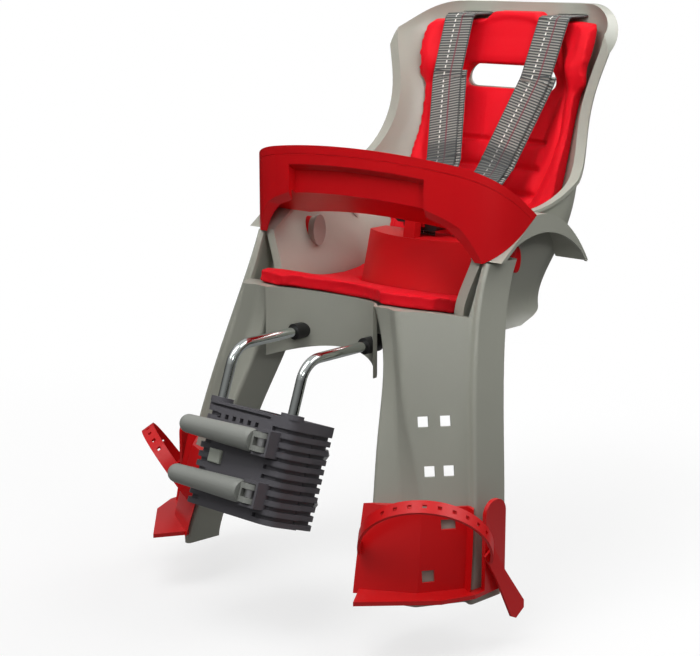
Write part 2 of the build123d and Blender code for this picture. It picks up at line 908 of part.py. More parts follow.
def foot_plate():
    """The left footrest's plate as a solid, before the leg guard is taken out of it."""
    levels = (foot_low - sole_thick, (foot_low + foot_high) / 2, foot_high)
    return loft([foot_section(height, gap + foot_wall) for height in levels])


def foot_ear(grow):
    """The upright ear on the outside of the left footrest, grown by one distance."""
    tall = ear_top - foot_low + sole_thick
    ear = Rectangle(ear_width + 2 * grow, tall + 2 * grow)
    ear = fillet(ear.vertices().group_by(Axis.Y)[-1], ear_width / 2 - 1)
    ear = Pos(sole_outer_y - ear_width / 2, ear_top - tall / 2) * ear
    return side_solid(ear, sole_outer_x - ear_thick - grow, sole_outer_x + grow)


def footrest():
    """The left footrest: a creased plate on the leg guard, a winged sole and an outer ear."""
    line = leg_line(foot_low)
    sole = polygon(
        line[1], (toe_x, toe_y), (sole_outer_x - 14, sole_outer_y - 76),
        (sole_outer_x, sole_outer_y - 44), (sole_outer_x, sole_outer_y), (line[5][0], sole_outer_y),
    )
    rest = foot_plate() + risen(sole, foot_low - sole_thick, foot_low)
    rest = rest - leg_loft(-gap, 0, 0)
    rest = rest - panel_hole(foot_low + 14, 0.18, 12, 11) - panel_hole(foot_high - 15, 0.55, 14, 9)
    return rest + foot_ear(0)


def foot_strap():
    """The left foot strap: a perforated hoop from the plate to the ear, with a flared tail."""
    start = Vector(*foot_strap_start)
    crest = Vector(*foot_strap_crest)
    end = Vector(*foot_strap_end)
    tip = Vector(*foot_strap_tip)
    normal = (crest - start).cross(end - start).normalized()
    plane = Plane(origin=start, x_dir=(end - start), z_dir=normal)
    a, b, c = [plane.to_local_coords(point) for point in (start, crest, end)]
    middle = ThreePointArc(a, b, c)
    centre = middle.arc_center
    outer = Circle(middle.radius + foot_strap_thick / 2)
    inner = Circle(middle.radius - foot_strap_thick / 2)
    ring = Pos(centre.X, centre.Y) * (outer - inner)
    half_plane = Pos(0, far / 2 * (1 if b.Y > 0 else -1)) * Rectangle(2 * far, far)
    hoop = extrude(plane * (ring & half_plane), amount=foot_strap_width / 2, both=True)
    for index in range(foot_hole_count):
        place = middle @ (0.3 + 0.065 * index)
        outward = place - centre
        spot = Plane(origin=place, x_dir=(0, 0, 1), z_dir=outward)
        hoop = hoop - plane * (spot * Box(foot_hole, foot_hole, 4 * foot_strap_thick))
    along = (tip - end).normalized()
    facing = (Vector(1, 0, 0) - along * along.X).normalized()
    tail_plane = Plane(origin=end, x_dir=along, z_dir=facing)
    length = (tip - end).length
    narrow = foot_strap_width / 2
    tail = polygon(
        (-narrow, -narrow), (length / 3, -narrow), (length - 6, -foot_strap_flare / 2), (length, -narrow),
        (length, narrow), (length - 6, foot_strap_flare / 2), (length / 3, narrow), (-narrow, narrow),
    )
    strap = hoop + extrude(tail_plane * tail, amount=foot_strap_thick / 2, both=True)
    return (strap - foot_plate() - foot_ear(gap)).solids().sort_by(SortBy.VOLUME)[-1]


def jaw_outline():
    """The front jaw seen along the tube: a block with its front corners rounded round the rods."""
    half = rod_spacing / 2 + rod_radius + boss_wall
    front = Pos(0, -jaw_front / 2) * Rectangle(2 * half, jaw_front)
    return fillet(front.vertices().group_by(Axis.Y)[0], jaw_corner)


def finned(outline):
    """A jaw from its outline, with grooves round both ends between its fins."""
    core = offset(outline, amount=-fin_depth) + (outline & Rectangle(2 * fin_inner, 4 * far))
    jaw = risen(core, jaw_bottom, jaw_top)
    height = jaw_bottom
    while height < jaw_top:
        top = min(height + fin_pitch - fin_groove, jaw_top)
        jaw = jaw + risen(outline, height, top)
        height = height + fin_pitch
    return jaw + risen(outline, jaw_top - fin_pitch, jaw_top)


def front_jaw():
    """The front jaw: fins round its ends, vents, rod bores, bolt holes and the latch pocket."""
    jaw = finned(jaw_outline())
    for x in (-rod_spacing / 2, rod_spacing / 2):
        jaw = jaw + upright(rod_radius + boss_wall, x, -rod_ahead, jaw_top - 1, jaw_top + boss_rise)
    for guard in cam_guards():
        jaw = jaw + guard
    jaw = jaw - block(-far, far, -jaw_split / 2, far, -far, far)
    jaw = jaw - upright(tube_radius + liner_thick, 0, 0, -far, far)
    for x in (-rod_spacing / 2, rod_spacing / 2):
        low = jaw_top + boss_rise - rod_insert - gap
        jaw = jaw - upright(rod_radius + running_fit, x, -rod_ahead, low, far)
    for height in (lever_lower_height, lever_upper_height):
        jaw = jaw - fore_aft(bolt_radius + running_fit, bolt_offset, height, -far, 0)
        jaw = jaw - fore_aft(bolt_radius + running_fit, -bolt_offset, height, slit_depth - gap - jaw_front, 0)
    for index in range(vent_count):
        x = -bolt_offset + 2 + vent_pitch * index
        jaw = jaw - block(
            x - vent_size / 2, x + vent_size / 2, -far, slit_depth - jaw_front,
            vent_height - vent_size / 2, vent_height + vent_size / 2,
        )
    jaw = jaw - block(
        -far, bolt_offset - vent_size, -far, slit_depth - jaw_front,
        jaw_top - 2 * slit_tall, jaw_top - slit_tall,
    )
    jaw = jaw - latch_room(gap / 2, jaw_front + far, latch_travel + gap)
    bar_room = latch_bar_tall / 2 + gap
    return jaw - block(
        -latch_bar_half - gap, latch_bar_half + gap,
        -latch_bar_front - gap, latch_bar_thick + latch_travel + gap - latch_bar_front,
        latch_height - bar_room, latch_height + bar_room,
    )


def cam_guards():
    """The raised walls on the front jaw round the levers' cams: one above, one below and one beside each."""
    half = cam_half + 2 * gap
    left = bolt_offset - cam_radius + 1
    right = bolt_offset + cam_radius + 2 * gap
    front = -jaw_front - guard_reach
    back = fin_depth + 2 - jaw_front
    walls = []
    for height in (lever_lower_height, lever_upper_height):
        outer = half + guard_wall
        walls.append(block(left, right + guard_wall, front, back, height + half, height + outer))
        walls.append(block(left, right + guard_wall, front, back, height - outer, height - half))
        walls.append(block(right, right + guard_wall, front, back, height - outer, height + outer))
    return walls


def latch_room(grow, front, push):
    """The release button's block, grown and carried inwards."""
    half = latch_width / 2 + grow
    tall = latch_tall / 2 + grow
    return block(
        latch_x - half, latch_x + half, -front, push - latch_bar_front,
        latch_height - tall, latch_height + tall,
    )


def release_button():
    """The pale button between the levers."""
    button = latch_room(0, jaw_front + latch_proud, 0)
    return fillet(button.edges().group_by(Axis.Y)[0], 1.5)


def latch_bar():
    """The bar behind the button that crosses to both rods."""
    half = latch_bar_tall / 2
    return block(
        -latch_bar_half, latch_bar_half, -latch_bar_front, latch_bar_thick - latch_bar_front,
        latch_height - half, latch_height + half,
    )


def rear_jaw():
    """The rear jaw, with seats for the nuts and screws."""
    outline = Pos(0, jaw_rear / 2) * Rectangle(2 * rear_half, jaw_rear)
    outline = fillet(outline.vertices().group_by(Axis.Y)[-1], jaw_corner)
    jaw = finned(outline)
    jaw = jaw - block(-far, far, -far, jaw_split / 2, -far, far)
    jaw = jaw - upright(tube_radius + liner_thick, 0, 0, -far, far)
    for height in (lever_lower_height, lever_upper_height):
        for x in (-bolt_offset, bolt_offset):
            jaw = jaw - fore_aft(bolt_radius + running_fit, x, height, 0, far)
    return jaw


def clamp_liner():
    """The rubber half ring in the front jaw."""
    ring = upright(tube_radius + liner_thick, 0, 0, jaw_bottom, jaw_top)
    ring = ring - upright(tube_radius, 0, 0, -far, far)
    return ring - block(-far, far, -jaw_split / 2, far, -far, far)


def pin_ahead():
    """How far ahead of the tube the lever pins stand."""
    return jaw_front + cam_radius + 1.2 * gap


def lever(height):
    """A quick-release lever: a tapered rounded handle with a forked cam at its root."""
    y = -pin_ahead()
    dome = Vector(bolt_offset - lever_dome_back, y - 2, height)
    tail = Vector(bolt_offset - lever_reach, y - 2 - lever_tail_out, height)
    along = tail - dome
    half_turn = sqrt(0.5)
    length = along.length
    outline = [
        ThreePointArc((-lever_dome, 0), (-lever_dome * half_turn, lever_dome * half_turn), (0, lever_dome)),
        Line((0, lever_dome), (length, lever_tip)),
        ThreePointArc(
            (length, lever_tip),
            (length + lever_tip * half_turn, lever_tip * half_turn),
            (length + lever_tip, 0),
        ),
        Line((length + lever_tip, 0), (-lever_dome, 0)),
    ]
    handle = Plane(origin=dome, x_dir=along, z_dir=(0, 0, 1)) * revolve(make_face(outline), axis=Axis.X)
    handle = handle & block(-far, bolt_offset - cam_radius - 1, -far, -jaw_front - 1.2 * gap, -far, far)
    cam = upright(cam_radius, bolt_offset, y, height - cam_half, height + cam_half)
    cam = cam + block(
        dome.X, bolt_offset, y - cam_radius + 2, y + cam_radius - 3, height - cam_half, height + cam_half,
    )
    fork = bolt_eye_half + gap
    cam = cam - block(bolt_offset - bolt_eye_radius - 1, far, -far, far, height - fork, height + fork)
    return handle + cam - upright(lever_pin_radius + running_fit, bolt_offset, y, -far, far)


def lever_pin(height):
    """The pin a lever turns on."""
    return upright(lever_pin_radius, bolt_offset, -pin_ahead(), height - cam_half + 1, height + cam_half - 1)


def tie_bolt(height):
    """The bolt a lever pulls on, with its eye round the lever's pin."""
    y = -pin_ahead()
    eye = upright(bolt_eye_radius, bolt_offset, y, height - bolt_eye_half, height + bolt_eye_half)
    shank = fore_aft(bolt_radius, bolt_offset, height, y, jaw_rear + nut_thick - 1)
    return eye + shank - upright(lever_pin_radius + running_fit, bolt_offset, y, -far, far)


def tie_nuts():
    """The hexagon nuts of both tie bolts behind the rear jaw."""
    nuts = []
    for height in (lever_lower_height, lever_upper_height):
        hexagon = Pos(bolt_offset, height) * RegularPolygon(nut_radius, 6)
        nut = front_solid(hexagon, jaw_rear, jaw_rear + nut_thick)
        nuts.append(leaned(nut - fore_aft(bolt_radius + running_fit, bolt_offset, height, 0, far)))
    return Compound(children=nuts)


def hinge_screws():
    """The two screws that hold the jaws together on the side away from the levers."""
    screws = []
    for height in (lever_lower_height, lever_upper_height):
        shank = fore_aft(bolt_radius, -bolt_offset, height, slit_depth - jaw_front, jaw_rear)
        head = fore_aft(nut_radius, -bolt_offset, height, jaw_rear, jaw_rear + nut_thick)
        screws.append(leaned(shank + head))
    return Compound(children=screws)


def all_pieces():
    """Every piece under the name of its node."""
    bar_body, bar_cover = safety_bar()
    pieces = {
        "seat_shell": seat_shell(),
        "seat_cushion": seat_cushion(),
        "crotch_guard": crotch_guard(),
        "support_rod": support_rod(),
        "rod_saddle_front": saddle(saddle_front_y),
        "rod_saddle_rear": saddle(saddle_rear_y),
        "rod_screws": rod_screws(),
        "strap_anchor": strap_anchor(),
        "crotch_strap": crotch_strap(),
        "buckle_body": buckle_body(),
        "buckle_button": buckle_button(),
        "safety_bar_body": bar_body,
        "safety_bar_cover": bar_cover,
        "tie_nuts": tie_nuts(),
        "hinge_screws": hinge_screws(),
    }
    pairs = {
        "rod_bush": rod_bush(),
        "shoulder_strap": shoulder_strap(),
        "buckle_tongue": buckle_tongue(),
        "bar_button": arm_button(),
        "footrest": footrest(),
        "foot_strap": foot_strap(),
    }
    for name, piece in pairs.items():
        pieces[name + "_left"] = piece
        pieces[name + "_right"] = mirrored(piece)
    clamp = {
        "front_jaw": front_jaw(),
        "rear_jaw": rear_jaw(),
        "clamp_liner_front": clamp_liner(),
        "clamp_liner_rear": mirror(clamp_liner(), about=Plane.XZ),
        "release_button": release_button(),
        "latch_bar": latch_bar(),
    }
    for side, height in (("upper", lever_upper_height), ("lower", lever_lower_height)):
        clamp["lever_" + side] = lever(height)
        clamp["lever_pin_" + side] = lever_pin(height)
        clamp["tie_bolt_" + side] = tie_bolt(height)
    for name, piece in clamp.items():
        pieces[name] = leaned(piece)
    return pieces


if __name__ == "__main__":
    os.makedirs("parts", exist_ok=True)
    for name, piece in all_pieces().items():
        export_step(piece, f"parts/{name}.step")
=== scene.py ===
import json
import logging
import math
from dataclasses import dataclass
from enum import Enum
from typing import Union

import bmesh
import bpy
import numpy as np
from mathutils import Matrix, Vector


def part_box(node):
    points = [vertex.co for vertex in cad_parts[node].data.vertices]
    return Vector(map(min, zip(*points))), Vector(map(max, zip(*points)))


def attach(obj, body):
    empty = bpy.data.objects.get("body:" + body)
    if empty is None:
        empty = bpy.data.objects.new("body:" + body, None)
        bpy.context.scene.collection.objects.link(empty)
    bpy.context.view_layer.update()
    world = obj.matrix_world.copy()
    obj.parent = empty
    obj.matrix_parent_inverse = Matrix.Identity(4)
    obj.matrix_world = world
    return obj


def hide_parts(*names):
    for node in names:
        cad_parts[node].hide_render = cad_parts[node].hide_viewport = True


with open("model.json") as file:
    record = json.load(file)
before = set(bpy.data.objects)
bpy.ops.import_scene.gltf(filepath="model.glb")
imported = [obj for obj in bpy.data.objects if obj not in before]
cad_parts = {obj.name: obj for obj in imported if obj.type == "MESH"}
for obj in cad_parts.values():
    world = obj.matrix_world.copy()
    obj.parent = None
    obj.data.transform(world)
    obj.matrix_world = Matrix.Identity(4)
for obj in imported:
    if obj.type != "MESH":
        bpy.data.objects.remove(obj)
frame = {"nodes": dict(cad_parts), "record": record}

LOG = logging.getLogger("seat")
MM = 0.001

Color = tuple[float, float, float]
Place = tuple[float, float, float]
Rgba = tuple[float, float, float, float]

WHITE: Rgba = (1.0, 1.0, 1.0, 1.0)
BLACK: Rgba = (0.0, 0.0, 0.0, 1.0)


class Sock:
    """A shader value that adds, multiplies and bends like a number."""

    def __init__(self, nodes: "Nodes", out: bpy.types.NodeSocket) -> None:
        """Wraps one output of a node tree."""
        self.nodes = nodes
        self.out = out

    def _join(self, operation: str, *others: "Value") -> "Sock":
        """Returns: a maths node over this value and the others."""
        return self.nodes.math(operation, self, *others)

    def __add__(self, other: "Value") -> "Sock":
        """Returns: the sum."""
        return self._join("ADD", other)

    __radd__ = __add__

    def __sub__(self, other: "Value") -> "Sock":
        """Returns: this value less the other."""
        return self._join("SUBTRACT", other)

    def __rsub__(self, other: "Value") -> "Sock":
        """Returns: the other value less this one."""
        return self.nodes.math("SUBTRACT", other, self)

    def __mul__(self, other: "Value") -> "Sock":
        """Returns: the product."""
        return self._join("MULTIPLY", other)

    __rmul__ = __mul__

    def __truediv__(self, other: "Value") -> "Sock":
        """Returns: this value over the other."""
        return self._join("DIVIDE", other)

    def sin(self) -> "Sock":
        """Returns: the sine of the value in radians."""
        return self._join("SINE")

    def fract(self) -> "Sock":
        """Returns: the part of the value after the point."""
        return self._join("FRACT")

    def abs(self) -> "Sock":
        """Returns: the value without its sign."""
        return self._join("ABSOLUTE")

    def root(self) -> "Sock":
        """Returns: the square root of the value."""
        return self._join("SQRT")

    def most(self, other: "Value") -> "Sock":
        """Returns: the larger of two values."""
        return self._join("MAXIMUM", other)

    def least(self, other: "Value") -> "Sock":
        """Returns: the smaller of two values."""
        return self._join("MINIMUM", other)

    def ramp(self, low: float, high: float) -> "Sock":
        """A soft step.

        Args:
            low: value where the step starts.
            high: value where it ends; below low for a falling step.
        Returns: 0 before the step and 1 after it, smooth between.
        """
        share = ((self - low) / (high - low)).most(0.0).least(1.0)
        return share * share * (3.0 - 2.0 * share)

    def near(self, middle: float, half: float, soft: float) -> "Sock":
        """Returns: 1 within half of the middle, falling to 0 over a soft edge."""
        return (self - middle).abs().ramp(half + soft, half)


Value = Union[Sock, float]


class Nodes:
    """One node tree under construction."""

    def __init__(self, tree: bpy.types.NodeTree) -> None:
        """Takes up a tree."""
        self.tree = tree

    def feed(self, socket: bpy.types.NodeSocket, value: object) -> None:
        """Sets an input.

        Args:
            socket: the input.
            value: a constant to set it to, or a value of this tree to link to it.
        """
        if isinstance(value, Sock):
            self.tree.links.new(value.out, socket)
        else:
            socket.default_value = value

    def node(
        self, kind: str, output: Union[str, int], settings: dict[str, object],
        *values: object, **inputs: object,
    ) -> Sock:
        """Any shader node.

        Args:
            kind: node type without its ShaderNode prefix.
            output: name or number of the output wanted.
            settings: node properties, which are set first.
            values: input values in the order of the sockets.
            inputs: input values by socket name, with _ for a space.
        Returns: the wanted output.
        """
        made = self.tree.nodes.new("ShaderNode" + kind)
        for key, value in settings.items():
            setattr(made, key, value)
        for socket, value in zip(made.inputs, values):
            self.feed(socket, value)
        for key, value in inputs.items():
            self.feed(made.inputs[key.replace("_", " ")], value)
        return Sock(self, made.outputs[output])

    def math(self, operation: str, *values: Value) -> Sock:
        """Returns: one maths node over the given values."""
        return self.node("Math", 0, {"operation": operation}, *values)

    def split(self, where: Sock) -> tuple[Sock, Sock, Sock]:
        """Returns: the X, Y and Z of a vector."""
        x = self.node("SeparateXYZ", "X", {}, where)
        return x, Sock(self, x.out.node.outputs["Y"]), Sock(self, x.out.node.outputs["Z"])

    def blend(self, share: Value, first: Rgba | Sock, second: Rgba | Sock) -> Sock:
        """Returns: a colour between two others, the first at share 0."""
        return self.node("MixRGB", 0, {}, Fac=share, Color1=first, Color2=second)

    def seen(self) -> Sock:
        """Returns: 1 to the camera and 0 to everything else."""
        return self.node("LightPath", "Is Camera Ray", {})


class Painter(Nodes):
    """One material under construction."""

    def __init__(self, name: str) -> None:
        """Starts a material.

        Args:
            name: the material's name.
        """
        self.material = bpy.data.materials.new(name)
        self.material.use_nodes = True
        super().__init__(self.material.node_tree)
        self.tree.nodes.clear()
        out = self.tree.nodes.new("ShaderNodeOutputMaterial")
        self.surface = self.tree.nodes.new("ShaderNodeBsdfPrincipled")
        self.tree.links.new(self.surface.outputs[0], out.inputs["Surface"])

    def place(self) -> tuple[Sock, Sock, Sock]:
        """Returns: the surface point's X, Y and Z in metres."""
        return self.split(self.node("TexCoord", "Object", {}))

    def ribbon(self) -> tuple[Sock, Sock]:
        """Returns: the piece's own U and V."""
        across, along, _ = self.split(self.node("UVMap", 0, {}))
        return across, along

    def noise(self, scale: float, detail: float = 3.0) -> Sock:
        """Returns: cloudy noise from 0 to 1, with scale waves to the metre."""
        where = self.node("TexCoord", "Object", {})
        return self.node("TexNoise", "Fac", {}, Vector=where, Scale=scale, Detail=detail)

    def tint(self, share: Sock, color: Color, swing: float) -> Sock:
        """Returns: a colour that swings from darker to brighter as a share goes from 0 to 1."""
        return self.blend(share, rgba(color, 1.0 - swing), rgba(color, 1.0 + swing))

    def bump(self, height: Sock, distance: float) -> None:
        """Raises the surface's normal by a height of 0 to 1 over a distance in metres."""
        self.set("Normal", self.node("Bump", 0, {}, Strength=1.0, Distance=distance, Height=height))

    def set(self, name: str, value: object) -> None:
        """Sets one input of the surface."""
        self.feed(self.surface.inputs[name], value)


def rgba(color: Color, gain: float = 1.0) -> Rgba:
    """Returns: a colour for a socket, brightened by a gain."""
    return (min(color[0] * gain, 1.0), min(color[1] * gain, 1.0), min(color[2] * gain, 1.0), 1.0)


def ring_faces(rows: int, around: int) -> np.ndarray:
    """Quads over rows of points, each row closed on itself.

    Args:
        rows: number of rows.
        around: points in each row.
    Returns: four point numbers for each quad.
    """
    row = np.arange(rows - 1)[:, None] * around
    here = np.arange(around)[None, :]
    beside = (here + 1) % around
    ahead = row + around
    return np.stack([ahead + here, ahead + beside, row + beside, row + here], axis=-1).reshape(-1, 4)


def mesh_of(name: str, points: np.ndarray, faces: list, uv: np.ndarray) -> bpy.types.Object:
    """A new smooth mesh object at the origin.

    Args:
        name: the piece's name.
        points: places in metres, one row each.
        faces: point numbers for each face.
        uv: U and V for each point.
    Returns: the object, in the scene.
    """
    mesh = bpy.data.meshes.new(name)
    mesh.from_pydata(points.tolist(), [], faces)
    layer = mesh.uv_layers.new(name="along")
    corner = np.empty(len(mesh.loops), dtype=np.int32)
    mesh.loops.foreach_get("vertex_index", corner)
    layer.data.foreach_set("uv", uv[corner].astype(np.float32).ravel())
    mesh.shade_smooth()
    made = bpy.data.objects.new(name, mesh)
    bpy.context.scene.collection.objects.link(made)
    return made


def unit(vectors: np.ndarray) -> np.ndarray:
    """Returns: the vectors at length one."""
    return vectors / np.linalg.norm(vectors, axis=-1, keepdims=True)


def lengths_along(line: np.ndarray) -> np.ndarray:
    """Returns: the length gone along a line at each of its points, from 0."""
    return np.concatenate([[0.0], np.cumsum(np.linalg.norm(np.diff(line, axis=0), axis=1))])


def signed_power(value: np.ndarray, exponent: float) -> np.ndarray:
    """Returns: the size of a value to a power, with the value's own sign."""
    return np.sign(value) * np.abs(value) ** exponent


def part_of(value: np.ndarray, low: float, high: float) -> np.ndarray:
    """Returns: 0 before low and 1 after high, straight between; falling where high is below low."""
    return np.clip((value - low) / (high - low), 0.0, 1.0)


def soft_step(value: np.ndarray, low: float, high: float) -> np.ndarray:
    """Returns: 0 before low and 1 after high, smooth between; falling where high is below low."""
    share = part_of(value, low, high)
    return share * share * (3.0 - 2.0 * share)


def groove(off: np.ndarray, half: float) -> np.ndarray:
    """Returns: the depth of a soft groove, a bell curve that is 1 in the middle and 1/e at half."""
    return np.exp(-((off / half) ** 2))


def smooth_path(points: np.ndarray, count: int, fine: int = 40) -> np.ndarray:
    """A smooth line through a few points.

    Each run is the cubic whose slope at a point is half the step from the point before to the point after.

    Args:
        points: the few points, one row each.
        count: points wanted, at even lengths along the line.
        fine: points worked out for each given one before they are spread evenly.
    Returns: the line's points.
    """
    slope = np.gradient(points, axis=0)
    share = np.linspace(0.0, len(points) - 1.0, fine * len(points))
    run = np.minimum(share.astype(int), len(points) - 2)
    t = (share - run)[:, None]
    line = (
        (2 * t**3 - 3 * t**2 + 1) * points[run] + (t**3 - 2 * t**2 + t) * slope[run]
        + (3 * t**2 - 2 * t**3) * points[run + 1] + (t**3 - t**2) * slope[run + 1]
    )
    gone = lengths_along(line)
    even = np.linspace(0.0, gone[-1], count)
    return np.stack([np.interp(even, gone, line[:, axis]) for axis in range(3)], axis=-1)


def rounded_path(points: np.ndarray, radii: tuple[float, ...], fine: int = 9) -> np.ndarray:
    """Straight runs with rounded corners.

    Each corner is cut back by its radius times the tangent of half the turn, and a quadratic curve joins the
    cuts.

    Args:
        points: the corners, with the two ends, one row each.
        radii: the radius at each inner corner.
        fine: points on each corner's curve.
    Returns: the line's points.
    """
    share = np.linspace(0.0, 1.0, fine)[:, None]
    pieces = [points[:1]]
    for before, corner, after, radius in zip(points[:-2], points[1:-1], points[2:], radii):
        back, ahead = unit(before - corner), unit(after - corner)
        cut = radius * math.tan((math.pi - math.acos(float(np.dot(back, ahead)))) / 2)
        first, last = corner + back * cut, corner + ahead * cut
        pieces.append((1 - share) ** 2 * first + 2 * share * (1 - share) * corner + share**2 * last)
    pieces.append(points[-1:])
    return np.concatenate(pieces)


@dataclass(frozen=True)
class Band:
    """A flat band: a rounded section carried along a path."""

    path: np.ndarray
    across: np.ndarray
    width: float
    thick: float
    count: int = 160
    around: int = 40
    edge_across: float = 0.3
    edge_through: float = 0.5

    def surface(self, start: int) -> tuple[np.ndarray, list, np.ndarray]:
        """The band's closed surface.

        The section is a superellipse, half the width times a power of the cosine across and half the
        thickness times a power of the sine through, so its edges are round and its faces flat. V is the
        length gone along the path and U the share of the width.

        Args:
            start: number of the band's first point.
        Returns: its points, its faces, and the U and V of each point.
        """
        line = smooth_path(self.path, self.count)
        ahead = unit(np.gradient(line, axis=0))
        side = smooth_path(self.across, self.count)
        side = unit(side - ahead * np.sum(side * ahead, axis=1, keepdims=True))
        face = np.cross(ahead, side)
        turn = np.linspace(0.0, 2.0 * np.pi, self.around, endpoint=False)
        wide = signed_power(np.cos(turn), self.edge_across) * self.width / 2
        deep = signed_power(np.sin(turn), self.edge_through) * self.thick / 2
        points = line[:, None] + side[:, None] * wide[None, :, None] + face[:, None] * deep[None, :, None]
        share = wide[None, :] / self.width + 0.5
        uv = np.stack(np.broadcast_arrays(share, lengths_along(line)[:, None]), axis=-1)
        end = start + self.count * self.around
        faces = (ring_faces(self.count, self.around) + start).tolist()
        faces.append(list(range(start, start + self.around)))
        faces.append(list(range(end - 1, end - self.around - 1, -1)))
        return points.reshape(-1, 3), faces, uv.reshape(-1, 2)

    def length(self) -> float:
        """Returns: the length of the band's middle line in metres."""
        return float(lengths_along(smooth_path(self.path, self.count))[-1])


def bands_of(name: str, bands: list[Band]) -> bpy.types.Object:
    """One piece made of bands.

    Args:
        name: the piece's name.
        bands: its layers.
    Returns: the piece as one mesh of closed layers.
    """
    points, faces, uvs = [], [], []
    start = 0
    for band in bands:
        layer, around, uv = band.surface(start)
        start += len(layer)
        points.append(layer)
        faces.extend(around)
        uvs.append(uv)
    return mesh_of(name, np.concatenate(points), faces, np.concatenate(uvs))


@dataclass(frozen=True)
class Moulded:
    """Moulded plastic: a grained skin with faint clouds in its colour and gloss."""

    name: str
    color: Color
    rough: float
    grain: float = 900.0
    depth: float = 0.00006
    coat: float = 0.0
    shine: float = 0.35
    cloud_scale: float = 14.0
    cloud_share: float = 0.7
    swing: float = 0.08
    coat_rough: float = 0.2

    def make(self) -> bpy.types.Material:
        """Returns: the material."""
        paint = Painter(self.name)
        clouds = paint.noise(self.cloud_scale)
        skin = paint.noise(self.grain, 2.0)
        shade = clouds * self.cloud_share + skin * (1.0 - self.cloud_share)
        paint.set("Base Color", paint.tint(shade, self.color, self.swing))
        paint.set("Roughness", self.rough + (clouds - 0.5) * 0.1 + (skin - 0.5) * 0.06)
        paint.set("Specular IOR Level", self.shine)
        paint.set("Coat Weight", self.coat)
        paint.set("Coat Roughness", self.coat_rough)
        paint.bump(skin, self.depth)
        return paint.material


@dataclass(frozen=True)
class ArmButton:
    """The arm button: red where the hand presses it, grey on the flange behind the wall."""

    name: str
    color: Color
    behind: Color
    wall_at: float = 0.127
    edge: float = 0.0004
    rough: float = 0.36
    cloud_scale: float = 60.0
    grain: float = 900.0
    depth: float = 0.00005
    swing: float = 0.08
    shine: float = 0.3

    def make(self) -> bpy.types.Material:
        """Returns: the material, which changes at a distance to each side of the middle."""
        paint = Painter(self.name)
        x, _, _ = paint.place()
        clouds = paint.noise(self.cloud_scale)
        inside = x.abs().ramp(self.wall_at, self.wall_at - self.edge)
        red = paint.tint(clouds, self.color, self.swing)
        paint.set("Base Color", paint.blend(inside, red, rgba(self.behind)))
        paint.set("Roughness", self.rough + (clouds - 0.5) * 0.1)
        paint.set("Specular IOR Level", self.shine)
        paint.bump(paint.noise(self.grain, 2.0), self.depth)
        return paint.material


@dataclass(frozen=True)
class Metal:
    """Bright metal: faint clouds in its colour, and fine specks that change its gloss."""

    name: str
    color: Color
    rough: float
    speck: float
    cloud_scale: float = 40.0
    speck_scale: float = 1500.0
    darkest: float = 0.93

    def make(self) -> bpy.types.Material:
        """Returns: the material."""
        paint = Painter(self.name)
        clouds = paint.noise(self.cloud_scale)
        specks = paint.noise(self.speck_scale, 1.0)
        paint.set("Base Color", paint.blend(clouds, rgba(self.color, self.darkest), rgba(self.color)))
        paint.set("Metallic", 1.0)
        paint.set("Roughness", self.rough + (clouds - 0.5) * 0.06 + (specks - 0.5) * self.speck)
        return paint.material


@dataclass(frozen=True)
class Webbing:
    """Ribbed webbing: pale and dark ribs across it, a dashed white line and a thin wine-red line along it.

    Lengths along it are in metres, and places across it are shares of its width. From plain_from on the
    pattern sinks into the dark tone.
    """

    name: str
    pale: Color = (0.31, 0.31, 0.28)
    dark: Color = (0.05, 0.058, 0.058)
    wine: Color = (0.2, 0.03, 0.05)
    dash: Color = (0.8, 0.8, 0.76)
    rib: float = 0.0029
    edge: tuple[float, float] = (0.455, 0.475)
    wine_at: float = 0.62
    wine_half: float = 0.022
    dash_at: float = 0.4
    dash_half: float = 0.018
    plain_from: float = 0.2
    plain_over: float = 0.012
    threads: float = 90.0
    fuzz_scale: float = 2200.0
    rough: float = 0.72
    depth: float = 0.0006

    def make(self) -> bpy.types.Material:
        """Returns: the material, on U across and V along."""
        paint = Painter(self.name)
        u, v = paint.ribbon()
        wave = (v * (2.0 * math.pi / self.rib)).sin() * 0.5 + 0.5
        fuzz = paint.noise(self.fuzz_scale, 1.0)
        tone = paint.blend(wave.ramp(0.3, 0.75) * (0.75 + fuzz * 0.5), rgba(self.dark), rgba(self.pale))
        selvedge = (u - 0.5).abs().ramp(*self.edge)
        tone = paint.blend(selvedge * 0.75, tone, rgba(self.dark))
        wine_line = u.near(self.wine_at, self.wine_half, 0.012)
        tone = paint.blend(wine_line * 0.7, tone, rgba(self.wine))
        dashes = (v / (2.0 * self.rib)).fract().near(0.5, 0.2, 0.08)
        dash_line = u.near(self.dash_at, self.dash_half, 0.01)
        tone = paint.blend(dash_line * dashes, tone, rgba(self.dash))
        plain = v.ramp(self.plain_from, self.plain_from + self.plain_over)
        tone = paint.blend(plain * 0.7, tone, rgba(self.dark))
        paint.set("Base Color", tone)
        paint.set("Roughness", self.rough + fuzz * 0.15)
        thread = (u * self.threads).sin() * 0.12
        paint.bump(wave * 0.8 + thread + fuzz * 0.2, self.depth)
        return paint.material


@dataclass(frozen=True)
class Foam:
    """Soft moulded foam with a fine closed skin."""

    name: str
    color: Color
    rough: float = 0.62
    cloud_scale: float = 9.0
    cloud_share: float = 0.65
    pore_scale: float = 1900.0
    depth: float = 0.00018
    swing: float = 0.1
    shine: float = 0.16

    def make(self) -> bpy.types.Material:
        """Returns: the material."""
        paint = Painter(self.name)
        clouds = paint.noise(self.cloud_scale, 4.0)
        pores = paint.noise(self.pore_scale, 2.0)
        shade = clouds * self.cloud_share + pores * (1.0 - self.cloud_share)
        paint.set("Base Color", paint.tint(shade, self.color, self.swing))
        paint.set("Roughness", self.rough + (pores - 0.5) * 0.2)
        paint.set("Specular IOR Level", self.shine)
        paint.bump(pores, self.depth)
        return paint.material


